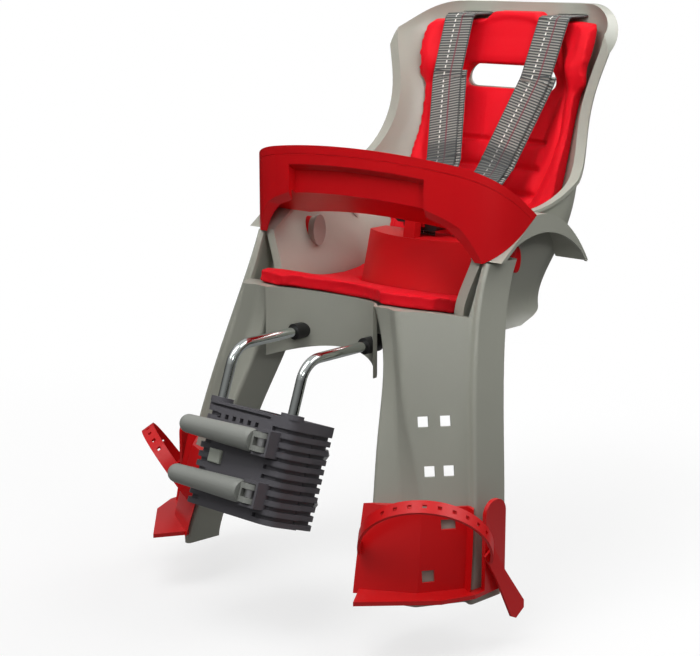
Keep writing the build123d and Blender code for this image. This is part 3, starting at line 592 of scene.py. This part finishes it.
class Slot(Enum):
    """The record's material slots."""

    SHELL = "shell_grey"
    CUSHION = "cushion_red"
    GUARD = "guard_red"
    BAR = "bar_red"
    FOOTREST = "footrest_red"
    FOOT_STRAP = "foot_strap_red"
    ROD = "rod_chrome"
    STEEL = "bright_steel"
    WEBBING = "webbing_grey"
    BLACK = "black_plastic"
    BRACKET = "bracket_grey"
    LINER = "liner_rubber"
    LEVER = "lever_grey"
    BUTTON = "button_pale"


MOULDED_RED: Color = (0.64, 0.006, 0.01)

FINISHES = {
    Slot.SHELL: Moulded(
        "shell_grey", (0.375, 0.38, 0.325), 0.42, grain=1100.0, depth=0.00004, coat=0.12, shine=0.45,
    ),
    Slot.CUSHION: Foam("cushion_red", (0.76, 0.004, 0.014)),
    Slot.GUARD: Moulded("guard_red", MOULDED_RED, 0.42, shine=0.3),
    Slot.BAR: Moulded("bar_red", MOULDED_RED, 0.36, grain=1000.0, depth=0.00004, coat=0.15, shine=0.3),
    Slot.FOOTREST: Moulded(
        "footrest_red", (0.66, 0.006, 0.008), 0.3, grain=700.0, depth=0.00003, coat=0.3, shine=0.3,
    ),
    Slot.FOOT_STRAP: Moulded(
        "foot_strap_red", (0.68, 0.006, 0.008), 0.36, depth=0.00004, coat=0.1, shine=0.3,
    ),
    Slot.ROD: Metal("rod_chrome", (0.72, 0.76, 0.74), 0.12, 0.03),
    Slot.STEEL: Metal("bright_steel", (0.6, 0.6, 0.6), 0.32, 0.1),
    Slot.WEBBING: Webbing("webbing_grey"),
    Slot.BLACK: Moulded("black_plastic", (0.018, 0.018, 0.018), 0.45),
    Slot.BRACKET: Moulded("bracket_grey", (0.125, 0.121, 0.134), 0.46, grain=700.0),
    Slot.LINER: Moulded("liner_rubber", (0.02, 0.02, 0.02), 0.8),
    Slot.LEVER: Moulded("lever_grey", (0.3, 0.31, 0.285), 0.42),
    Slot.BUTTON: Moulded("button_pale", (0.5, 0.53, 0.46), 0.5),
}

ARM_BUTTON = ArmButton("arm_button_red", MOULDED_RED, (0.3, 0.305, 0.265))


class Dresser:
    """Puts the finishes on the solids, each by the slot that the record gives it, the arm buttons apart."""

    def __init__(self) -> None:
        """Makes every finish."""
        self.made = {slot: finish.make() for slot, finish in FINISHES.items()}
        self.arm_button = ARM_BUTTON.make()

    def dress(self) -> None:
        """Gives each solid the finish of its slot."""
        for entry in frame["record"]["subparts"]:
            node = frame["nodes"][entry["node"]]
            skin = self.made[Slot(entry["material_slot"])]
            if entry["node"].startswith("bar_button"):
                skin = self.arm_button
            node.data.materials.clear()
            node.data.materials.append(skin)
            LOG.info("finish %s on %s", skin.name, entry["node"])


STRAP_ROUTE = (
    (0.062, 0.408, 0.408), (0.062, 0.366, 0.408), (0.058, 0.340, 0.345),
    (0.034, 0.301, 0.254), (0.033, 0.262, 0.2235), (0.033, 0.236, 0.2204),
)
STRAP_WIDTH = 0.038


@dataclass(frozen=True)
class Cushion:
    """The one-piece pad of the back and seat, swollen by cloth pressure, with its seams pressed in after.

    Lengths are in metres. A pair gives where a soft step starts and ends, and the pairs of the seam are a
    height and how far the seam stands from the middle there.
    """

    voxel: float = 0.0035
    ease: int = 5

    head: tuple[float, float] = (0.330, 0.362)
    head_in: float = 0.085
    head_thicker: float = 0.008
    top: tuple[float, float] = (0.365, 0.400)
    top_rise: float = 0.003
    top_lean: float = 0.11
    arch: tuple[float, float] = (0.043, 0.028)
    arch_rise: float = 0.010

    pressure: float = 4.0
    cloth_mass: float = 0.3
    cloth_quality: int = 5
    frames: int = 20
    swell_most: float = 0.004
    evening: int = 30
    strap_ease: float = 0.008

    seam: tuple[tuple[float, float], ...] = (
        (0.16, 0.044), (0.2, 0.058), (0.223, 0.07), (0.26, 0.082), (0.289, 0.087),
        (0.324, 0.084), (0.352, 0.076), (0.385, 0.062), (0.42, 0.052),
    )
    seam_deep: float = 0.003
    seam_half: float = 0.0028
    bolster_rise: float = 0.0028
    bolster_slope: float = 0.012
    bolster_wide: float = 0.026
    channels: tuple[float, float, float] = (0.279, 0.253, 0.227)
    channel_reach: float = 0.072
    channel_end: float = 0.006
    channel_deep: float = 0.0034
    channel_half: float = 0.0026
    rib_rise: float = 0.0022
    rib_slope: float = 0.008
    ribs_above: float = 0.004
    ribs_below: float = 0.02
    step_top: float = 0.408
    step_drop: float = 0.025
    step_across: float = 0.07
    step_reach: float = 0.085
    step_deep: float = 0.0022
    step_slope: float = 0.004
    step_from: tuple[float, float] = (0.365, 0.385)
    back_from: tuple[float, float] = (0.165, 0.185)

    def _points(self, made: bpy.types.Object) -> np.ndarray:
        """Returns: the mesh's points, one row each."""
        flat = np.empty(3 * len(made.data.vertices), dtype=np.float64)
        made.data.vertices.foreach_get("co", flat)
        return flat.reshape(-1, 3)

    def _normals(self, made: bpy.types.Object) -> np.ndarray:
        """Returns: the mesh's normals, one row for each point."""
        flat = np.empty(3 * len(made.data.vertices), dtype=np.float64)
        made.data.vertex_normals.foreach_get("vector", flat)
        return flat.reshape(-1, 3)

    def _move(self, made: bpy.types.Object, points: np.ndarray) -> None:
        """Puts the mesh's points at new places."""
        made.data.vertices.foreach_set("co", points.ravel())
        made.data.update()

    def _apply(self, made: bpy.types.Object) -> None:
        """Makes the modifiers' result the mesh itself.

        Args:
            made: the object, whose modifiers are then gone.
        """
        bpy.context.view_layer.update()
        shown = made.evaluated_get(bpy.context.evaluated_depsgraph_get())
        done = bpy.data.meshes.new_from_object(shown)
        made.modifiers.clear()
        made.data = done

    def _blank(self) -> bpy.types.Object:
        """Returns: a remeshed copy of the pad's solid, drawn back to it, its corners eased."""
        body = bmesh.new()
        body.from_mesh(frame["nodes"]["seat_cushion"].data)
        bmesh.ops.remove_doubles(body, verts=body.verts, dist=0.001 * MM)
        mesh = bpy.data.meshes.new("cushion")
        body.to_mesh(mesh)
        body.free()
        mesh.materials.clear()
        made = bpy.data.objects.new("cushion", mesh)
        bpy.context.scene.collection.objects.link(made)
        grain = made.modifiers.new("grain", "REMESH")
        grain.mode = "VOXEL"
        grain.voxel_size = self.voxel
        fit = made.modifiers.new("fit", "SHRINKWRAP")
        fit.target = frame["nodes"]["seat_cushion"]
        fit.wrap_method = "NEAREST_SURFACEPOINT"
        ease = made.modifiers.new("ease", "SMOOTH")
        ease.factor = 0.5
        ease.iterations = self.ease
        self._apply(made)
        return made

    def _shape(self, made: bpy.types.Object) -> None:
        """Gives the head of the pad its form.

        The head is drawn in by a share of its width and thickened forwards, and its top edge rises a little
        at the sides and more in the middle, where it makes an arch.

        Args:
            made: the pad.
        """
        place = self._points(made)
        facing = self._normals(made)
        x, z = np.abs(place[:, 0]), place[:, 2]
        head = soft_step(z, *self.head)
        rise = soft_step(z, *self.top) * (self.top_rise + self.arch_rise * soft_step(x, *self.arch))
        front = np.clip(-facing[:, 1] * 1.5, 0.0, 1.0)
        place[:, 0] *= 1.0 - self.head_in * head
        place[:, 1] += self.top_lean * rise - self.head_thicker * head * front
        place[:, 2] += rise
        self._move(made, place)

    def _even(self, made: bpy.types.Object, value: np.ndarray) -> np.ndarray:
        """Evens out a value over the mesh.

        Args:
            made: the mesh's object.
            value: one number for each point.
        Returns: the value after each point has moved towards the mean of its neighbours, many times.
        """
        ends = np.empty(2 * len(made.data.edges), dtype=np.int32)
        made.data.edges.foreach_get("vertices", ends)
        first, last = ends.reshape(-1, 2).T
        size = len(value)
        count = np.bincount(ends, minlength=size)
        for _ in range(self.evening):
            near = np.bincount(first, value[last], size) + np.bincount(last, value[first], size)
            value = 0.4 * value + 0.6 * near / count
        return value

    def _held(self, place: np.ndarray, facing: np.ndarray) -> np.ndarray:
        """Where the pad can't swell.

        Args:
            place: the pad's points.
            facing: its normals.
        Returns: 1 where a point faces the shell or lies under a strap, falling to 0 beside that.
        """
        shell = np.clip(np.maximum(facing[:, 1] - 0.1, -0.25 - facing[:, 2]) * 4.0, 0.0, 1.0)
        route = np.array(STRAP_ROUTE)[::-1]
        aside = np.abs(np.abs(place[:, 0]) - np.interp(place[:, 2], route[:, 2], route[:, 0]))
        strap = part_of(aside, STRAP_WIDTH / 2 + self.strap_ease, STRAP_WIDTH / 2)
        return np.maximum(shell, strap * (place[:, 2] > route[0, 2]))

    def _swell(self, made: bpy.types.Object) -> None:
        """Blows the pad up a little with cloth pressure, but not towards the shell or against the straps.

        Args:
            made: the pad.
        """
        before = self._points(made)
        facing = self._normals(made)
        cloth = made.modifiers.new("cloth", "CLOTH")
        cloth.settings.quality = self.cloth_quality
        cloth.settings.mass = self.cloth_mass
        cloth.settings.use_pressure = True
        cloth.settings.uniform_pressure_force = self.pressure
        cloth.settings.effector_weights.gravity = 0.0
        cloth.point_cache.frame_end = self.frames
        scene = bpy.context.scene
        for step in range(1, self.frames + 1):
            scene.frame_set(step)
        self._apply(made)
        scene.frame_set(1)
        free = 1.0 - self._held(before, facing)
        out = np.sum((self._points(made) - before) * facing, axis=1)
        out = self._even(made, np.clip(out, -self.swell_most, self.swell_most) * free)
        self._move(made, before + facing * (out * free)[:, None])

    def _press(self, made: bpy.types.Object) -> None:
        """Presses the seams.

        The depth at a point of the back is a sum: a soft groove along a curve down each side that parts the
        bolsters from the middle, less a rise of the bolster beside it; three level grooves, less a rise of
        the ribs between them; and the step of an arch at the head.

        Args:
            made: the pad.
        """
        place = self._points(made)
        facing = self._normals(made)
        x, z = np.abs(place[:, 0]), place[:, 2]
        front = np.clip((-facing[:, 1] - 0.25) * 2.5, 0.0, 1.0) * part_of(z, *self.back_from)
        seam = np.array(self.seam)
        off = x - np.interp(z, seam[:, 0], seam[:, 1])
        deep = self.seam_deep * groove(off, self.seam_half)
        bolster = part_of(off, 0.0, self.bolster_slope)
        bolster *= part_of(off, self.bolster_wide, self.bolster_wide - self.bolster_slope)
        deep -= self.bolster_rise * bolster
        level = np.array(self.channels)
        gap = np.min(np.abs(z[:, None] - level[None, :]), axis=1)
        inner = part_of(x, self.channel_reach, self.channel_reach - self.channel_end)
        deep += self.channel_deep * groove(gap, self.channel_half) * inner
        between = (z < level[0] + self.ribs_above) & (z > level[-1] - self.ribs_below)
        deep -= self.rib_rise * part_of(gap, 0.0, self.rib_slope) * inner * between
        below = self.step_top - self.step_drop * (x / self.step_across) ** 2 - z
        step = part_of(below, 0.0, self.step_slope) * part_of(z, *self.step_from)
        deep += self.step_deep * step * (x < self.step_reach)
        self._move(made, place - facing * (deep * front)[:, None])

    def build(self, skin: bpy.types.Material) -> None:
        """Makes the pad in the place of its solid.

        Args:
            skin: its finish.
        """
        made = self._blank()
        self._shape(made)
        self._swell(made)
        finer = made.modifiers.new("finer", "SUBSURF")
        finer.levels = finer.render_levels = 1
        self._apply(made)
        self._press(made)
        made.data.materials.clear()
        made.data.materials.append(skin)
        made.data.shade_smooth()
        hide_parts("seat_cushion")
        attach(made, "seat")
        LOG.info("cushion with %d faces", len(made.data.polygons))


@dataclass(frozen=True)
class Harness:
    """The webbing: two shoulder straps of two layers each, and the short crotch strap. Lengths in metres."""

    radii: tuple[float, ...] = (0.009, 0.060, 0.040, 0.025)
    thick: float = 0.002
    under_shift: Place = (0.005, 0.0022, -0.0009)
    under_thick: float = 0.0012
    under_starts: float = 0.006
    crotch_points: int = 5
    crotch_rows: int = 12

    def _place(self, name: str, bands: list[Band], node: str, skin: bpy.types.Material) -> bpy.types.Object:
        """Builds a strap and dresses it.

        Args:
            name: the piece's name.
            bands: its layers.
            node: the solid it stands for.
            skin: its finish.
        Returns: the piece.
        """
        made = bands_of(name, bands)
        made.data.materials.append(skin)
        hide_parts(node)
        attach(made, "seat")
        LOG.info("%s, %.0f mm of webbing", name, sum(band.length() for band in bands) / MM)
        return made

    def _sideways(self, count: int) -> np.ndarray:
        """Returns: the way across a strap, along X at each of its points."""
        return np.tile([1.0, 0.0, 0.0], (count, 1))

    def shoulder(self, side: str, sign: float, skin: bpy.types.Material) -> None:
        """One shoulder strap, with its second layer showing a little beside it.

        Args:
            side: left or right.
            sign: 1 for the left strap, at positive X, and -1 for the right one.
            skin: its finish.
        """
        corners = np.array(STRAP_ROUTE) * np.array([sign, 1.0, 1.0])
        line = rounded_path(corners, self.radii)
        across = self._sideways(len(line))
        top = Band(line, across, STRAP_WIDTH, self.thick)
        shown = line[:, 2] < corners[1, 2] - self.under_starts
        under = Band(line[shown] + np.array(self.under_shift), across[shown], STRAP_WIDTH, self.under_thick)
        made = self._place("shoulder_webbing_" + side, [top, under], "shoulder_strap_" + side, skin)
        top.length() + under.length()

    def crotch(self, skin: bpy.types.Material) -> None:
        """The short strap from the guard up to the buckle.

        Args:
            skin: its finish.
        """
        low, high = (np.array(corner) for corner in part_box("crotch_strap"))
        middle = (low + high) / 2
        line = np.tile(middle, (self.crotch_points, 1))
        line[:, 2] = np.linspace(low[2], high[2], self.crotch_points)
        wide, thick, _ = high - low
        band = Band(line, self._sideways(self.crotch_points), wide, thick, self.crotch_rows)
        self._place("crotch_webbing", [band], "crotch_strap", skin)

    def build(self, skin: bpy.types.Material) -> None:
        """Builds all the webbing.

        Args:
            skin: its finish.
        """
        self.shoulder("left", 1.0, skin)
        self.shoulder("right", -1.0, skin)
        self.crotch(skin)


@dataclass(frozen=True)
class Lamp:
    """One soft square lamp: its place and aim in metres, its side, its watts and its beam in degrees."""

    name: str
    place: Place
    aim: Place
    size: float
    power: float
    spread: float = 180.0

    def build(self) -> None:
        """Puts the lamp in the scene."""
        lamp = bpy.data.lights.new(self.name, "AREA")
        lamp.shape = "SQUARE"
        lamp.size = self.size
        lamp.energy = self.power
        lamp.spread = math.radians(self.spread)
        made = bpy.data.objects.new(self.name, lamp)
        way = Vector(self.aim) - Vector(self.place)
        turn = way.to_track_quat("-Z", "Y").to_matrix().to_4x4()
        made.matrix_world = Matrix.Translation(self.place) @ turn
        bpy.context.scene.collection.objects.link(made)


MIDDLE: Place = (0.0, 0.15, 0.15)
BUCKET: Place = (0.0, 0.3, 0.3)
BACK_PAD: Place = (0.0, 0.3, 0.38)

LAMPS = (
    Lamp("key", (-0.4, -1.2, 1.8), MIDDLE, 1.2, 9.0),
    Lamp("top", (0.05, -0.4, 1.4), BUCKET, 0.7, 3.0, 110.0),
    Lamp("fill", (1.1, -0.6, 0.95), BACK_PAD, 0.4, 0.4, 28.0),
    Lamp("rim", (0.95, 0.6, 1.5), BUCKET, 0.9, 6.0),
    Lamp("back", (0.3, 1.7, 1.5), MIDDLE, 1.2, 14.0),
)


@dataclass(frozen=True)
class Studio:
    """Floor, soft lights, surroundings and camera. Lengths in metres, angles in degrees."""

    eye: Place = (1.085, -1.086, 0.476)
    azimuth: float = 42.0
    elevation: float = 12.7
    lens: float = 86.4
    sensor: float = 36.0
    far: float = 100.0
    dim: Rgba = (0.08, 0.08, 0.08, 1.0)
    overhead: Rgba = (0.55, 0.55, 0.55, 1.0)
    floor: float = -0.16
    floor_half: float = 6.0
    floor_tone: Color = (0.3, 0.3, 0.3)
    floor_glow: Color = (0.68, 0.68, 0.68)
    floor_rough: float = 0.9
    fade: tuple[float, float] = (0.25, 1.1)
    fade_wave: float = 0.1

    def camera(self) -> None:
        """Sets the camera at the photograph's place and angle."""
        lens = bpy.data.cameras.new("camera")
        lens.lens = self.lens
        lens.sensor_width = self.sensor
        lens.sensor_fit = "HORIZONTAL"
        lens.clip_end = self.far
        eye = bpy.data.objects.new("camera", lens)
        turn = Matrix.Rotation(math.radians(self.azimuth), 4, "Z")
        tilt = Matrix.Rotation(math.radians(90.0 - self.elevation), 4, "X")
        eye.matrix_world = Matrix.Translation(self.eye) @ turn @ tilt
        bpy.context.scene.collection.objects.link(eye)
        bpy.context.scene.camera = eye

    def surroundings(self) -> None:
        """A room that is plain white to the camera, and dim low down and pale overhead to all else."""
        world = bpy.data.worlds.new("room")
        bpy.context.scene.world = world
        world.use_nodes = True
        nodes = Nodes(world.node_tree)
        _, _, up = nodes.split(nodes.node("TexCoord", "Generated", {}))
        room = nodes.blend(up.ramp(0.0, 0.8), self.dim, self.overhead)
        back = world.node_tree.nodes["Background"]
        nodes.feed(back.inputs["Color"], nodes.blend(nodes.seen(), room, WHITE))
        nodes.feed(back.inputs["Strength"], 1.0)

    def ground(self) -> None:
        """A wide pale floor that keeps the object's shadow and turns white to the camera further off."""
        half, low = self.floor_half, self.floor
        corners = [(-half, -half, low), (half, -half, low), (half, half, low), (-half, half, low)]
        mesh = bpy.data.meshes.new("floor")
        mesh.from_pydata(corners, [], [(0, 1, 2, 3)])
        made = bpy.data.objects.new("floor", mesh)
        paint = Painter("floor")
        x, y, _ = paint.place()
        back = y - MIDDLE[1]
        wave = (paint.noise(3.0) - 0.5) * self.fade_wave
        off = ((x * x + back * back).root() + wave).ramp(*self.fade)
        glow = paint.blend(off, rgba(self.floor_glow), WHITE)
        paint.set("Base Color", paint.blend(off, rgba(self.floor_tone), BLACK))
        paint.set("Emission Color", paint.blend(paint.seen(), BLACK, glow))
        paint.set("Emission Strength", 1.0)
        paint.set("Specular IOR Level", 0.0)
        paint.set("Roughness", self.floor_rough)
        mesh.materials.append(paint.material)
        bpy.context.scene.collection.objects.link(made)

    def build(self) -> None:
        """Builds the whole studio."""
        self.camera()
        self.surroundings()
        self.ground()
        for lamp in LAMPS:
            lamp.build()
        bpy.context.scene.view_settings.view_transform = "Standard"


def main() -> None:
    """Builds every piece in order."""
    logging.basicConfig(level=logging.INFO, format="%(message)s")
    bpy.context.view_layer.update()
    dresser = Dresser()
    dresser.dress()
    Cushion().build(dresser.made[Slot.CUSHION])
    Harness().build(dresser.made[Slot.WEBBING])
    Studio().build()


if __name__ == "__main__":
    main()
